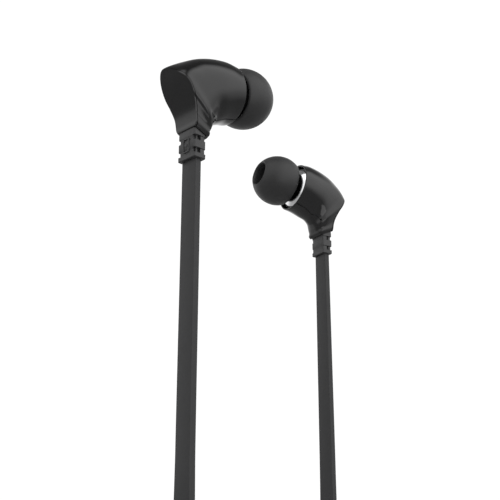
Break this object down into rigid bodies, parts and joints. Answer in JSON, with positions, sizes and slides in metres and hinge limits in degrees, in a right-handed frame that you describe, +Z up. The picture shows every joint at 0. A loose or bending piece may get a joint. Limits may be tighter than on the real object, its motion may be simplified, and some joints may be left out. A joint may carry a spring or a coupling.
{
  "type": "wired earphones",
  "caption": "Wired in-ear earphones: angled glossy earbuds with soft domed tips on a flat cable, with a Y-splitter, a tied hank of spare cable and a 3.5 mm plug.",
  "frame": {"origin": "centre of the right ear tip's open end, where it enters the wearer's right ear canal", "axes": "+Z up; +X from the right earbud towards the left one, level; +Y towards the back of the wearer's head"},
  "size_m": [0.0736, 0.0376, 0.2262],
  "materials": {
    "tip_silicone": "soft matte silicone",
    "mesh_steel": "fine woven mesh",
    "bright_trim": "bright plated",
    "gloss_shell": "polished black",
    "cable_rubber": "matte",
    "driver_plastic": "matte",
    "driver_film": "thin film",
    "coil_copper": "enamelled wire",
    "driver_steel": "plated",
    "strap_fabric": "woven hook-and-loop",
    "matte_shell": "fine texture",
    "jack_gold": "gold plated"
  },
  "bodies": {
    "earphones": {"right_nozzle_mesh": "mesh_steel", "right_front_shell": "matte_shell", "right_trim_ring": "bright_trim", "right_main_housing": "gloss_shell", "right_rear_cover": "gloss_shell", "right_strain_relief": "cable_rubber", "right_driver_frame": "driver_plastic", "right_diaphragm": "driver_film", "right_voice_coil": "coil_copper", "right_top_plate": "driver_steel", "right_magnet": "driver_steel", "right_magnet_cup": "driver_steel", "right_cable_knot": "cable_rubber", "left_nozzle_mesh": "mesh_steel", "left_front_shell": "matte_shell", "left_trim_ring": "bright_trim", "left_main_housing": "gloss_shell", "left_rear_cover": "gloss_shell", "left_strain_relief": "cable_rubber", "left_driver_frame": "driver_plastic", "left_diaphragm": "driver_film", "left_voice_coil": "coil_copper", "left_top_plate": "driver_steel", "left_magnet": "driver_steel", "left_magnet_cup": "driver_steel", "left_cable_knot": "cable_rubber", "right_branch": "cable_rubber", "left_branch": "cable_rubber", "trunk_lead": "cable_rubber", "trunk_hank": "cable_rubber", "trunk_tail": "cable_rubber", "hank_strap": "strap_fabric", "splitter_front": "matte_shell", "splitter_back": "matte_shell", "jack_grip": "matte_shell", "jack_sleeve": "jack_gold", "jack_insulators": "driver_plastic", "jack_ring": "jack_gold", "jack_tip": "jack_gold"},
    "right_tip": {"right_ear_tip": "tip_silicone"},
    "left_tip": {"left_ear_tip": "tip_silicone"}
  },
  "joints": [
    {"name": "right_tip_pull", "type": "slide", "parent": "earphones", "child": "right_tip", "axis": [0.9848, 0, 0.1736], "range_m": [0, 0.008]},
    {"name": "left_tip_pull", "type": "slide", "parent": "earphones", "child": "left_tip", "axis": [-0.9588, 0.2249, 0.1736], "range_m": [0, 0.008]}
  ]
}
